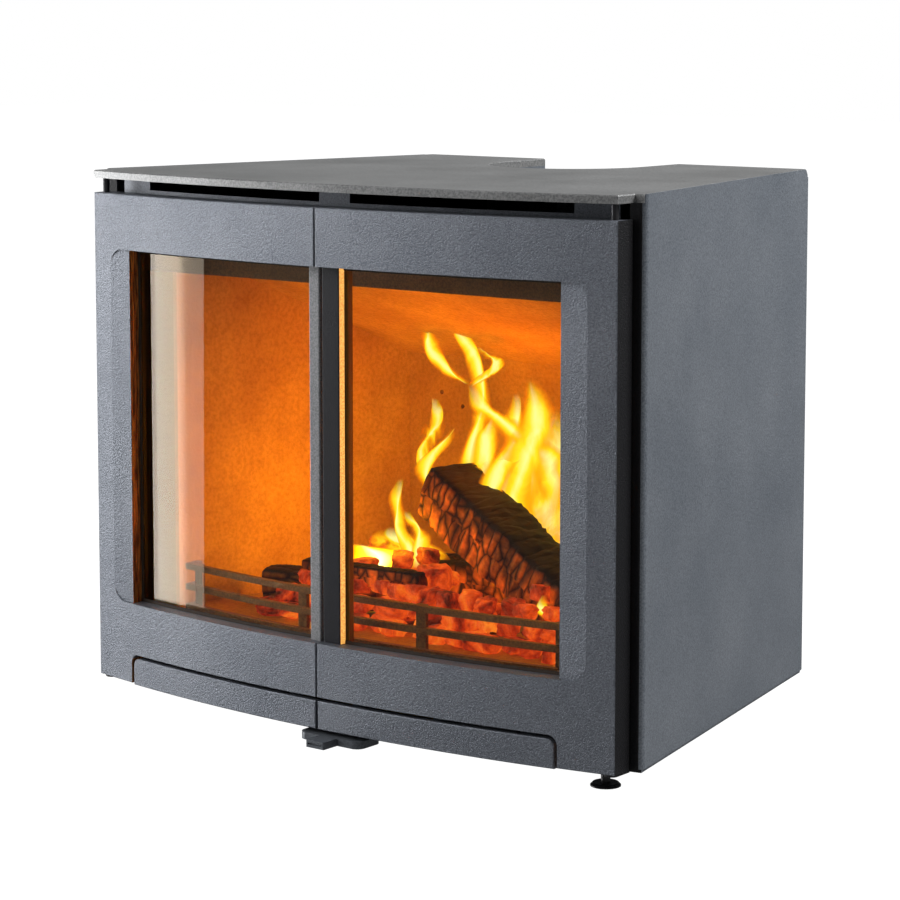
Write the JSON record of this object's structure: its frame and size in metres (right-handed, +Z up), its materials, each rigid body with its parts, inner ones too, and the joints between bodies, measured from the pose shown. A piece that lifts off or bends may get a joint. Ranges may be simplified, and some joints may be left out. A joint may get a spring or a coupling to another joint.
{
  "type": "inset wood stove",
  "caption": "Inset wood stove with a bowed front, two hinged glazed cast doors with lift flaps, tapered casing, brick-lined firebox, grate, log guard, air lever, flue collar and levelling feet",
  "frame": {"origin": "middle of the bounding box on the floor, under the levelling feet", "axes": "+X to the right seen from the front, +Y to the back, +Z up; the doors face -Y"},
  "size_m": [0.5986, 0.46, 0.488],
  "materials": {
    "plate_paint": "matt",
    "casing_paint": "matt",
    "grille_paint": "matt",
    "ear_paint": "matt",
    "door_cast": "matt",
    "stile_grey": "satin",
    "stile_black": "satin",
    "clamp_steel": "satin",
    "glass": "gloss",
    "seal_fibre": "matt",
    "rope_fibre": "matt",
    "pin_steel": "satin",
    "firebox_steel": "matt",
    "firebrick": "matt",
    "hearth_cast": "matt",
    "lever_steel": "satin",
    "foot_steel": "satin"
  },
  "bodies": {
    "stove": {"air_grille": "grille_paint", "air_lintel": "clamp_steel", "ash_pan": "clamp_steel", "back_brick": "firebrick", "baffle": "firebrick", "base_plate": "casing_paint", "flue_collar": "firebox_steel", "flue_skirt": "casing_paint", "front_frame": "firebox_steel", "grate": "hearth_cast", "hearth_brick": "firebrick", "hearth_sill": "hearth_cast", "lever_pivot": "pin_steel", "log_guard": "hearth_cast", "lower_hinge_left": "ear_paint", "lower_hinge_right": "ear_paint", "rear_duct": "clamp_steel", "rear_panel": "casing_paint", "shell_back": "firebox_steel", "shell_floor": "firebox_steel", "shell_roof": "firebox_steel", "shell_side_left": "firebox_steel", "shell_side_right": "firebox_steel", "side_brick_left": "firebrick", "side_brick_right": "firebrick", "side_panel_left": "casing_paint", "side_panel_right": "casing_paint", "top_plate": "plate_paint", "upper_pivot_left": "pin_steel", "upper_pivot_right": "pin_steel"},
    "leaf_left": {"door_left": "door_cast", "glass_left": "glass", "glass_seal_left": "seal_fibre", "meeting_stile_left": "stile_grey", "stile_clamp_left": "clamp_steel", "door_rope_left": "rope_fibre", "flap_pin_left": "pin_steel"},
    "latch_left": {"flap_left": "door_cast"},
    "leaf_right": {"door_right": "door_cast", "glass_right": "glass", "glass_seal_right": "seal_fibre", "meeting_stile_right": "stile_black", "stile_clamp_right": "clamp_steel", "door_rope_right": "rope_fibre", "flap_pin_right": "pin_steel"},
    "latch_right": {"flap_right": "door_cast"},
    "air_control": {"air_lever": "lever_steel", "damper_plate": "lever_steel"},
    "leg_front_left": {"foot_front_left": "foot_steel"},
    "leg_front_right": {"foot_front_right": "foot_steel"},
    "leg_back_left": {"foot_back_left": "foot_steel"},
    "leg_back_right": {"foot_back_right": "foot_steel"}
  },
  "joints": [
    {"name": "door_left_swing", "type": "hinge", "parent": "stove", "child": "leaf_left", "pos_m": [-0.282, -0.172, 0.24], "axis": [0, 0, -1], "range_deg": [0, 100]},
    {"name": "flap_left_lift", "type": "hinge", "parent": "leaf_left", "child": "latch_left", "pos_m": [-0.03, -0.19668, 0.0375], "axis": [-0.9963, 0.0857, 0], "range_deg": [0, 10]},
    {"name": "door_right_swing", "type": "hinge", "parent": "stove", "child": "leaf_right", "pos_m": [0.282, -0.172, 0.24], "axis": [0, 0, 1], "range_deg": [0, 100]},
    {"name": "flap_right_lift", "type": "hinge", "parent": "leaf_right", "child": "latch_right", "pos_m": [0.03, -0.19668, 0.0375], "axis": [-0.9963, -0.0857, 0], "range_deg": [0, 10]},
    {"name": "air_lever_turn", "type": "hinge", "parent": "stove", "child": "air_control", "pos_m": [0.015, -0.12, 0.012], "axis": [0, 0, 1], "range_deg": [-12, 12]},
    {"name": "foot_front_left_level", "type": "slide", "parent": "stove", "child": "leg_front_left", "axis": [0, 0, 1], "range_m": [-0.01, 0.006]},
    {"name": "foot_front_right_level", "type": "slide", "parent": "stove", "child": "leg_front_right", "axis": [0, 0, 1], "range_m": [-0.01, 0.006]},
    {"name": "foot_back_left_level", "type": "slide", "parent": "stove", "child": "leg_back_left", "axis": [0, 0, 1], "range_m": [-0.01, 0.006]},
    {"name": "foot_back_right_level", "type": "slide", "parent": "stove", "child": "leg_back_right", "axis": [0, 0, 1], "range_m": [-0.01, 0.006]}
  ]
}
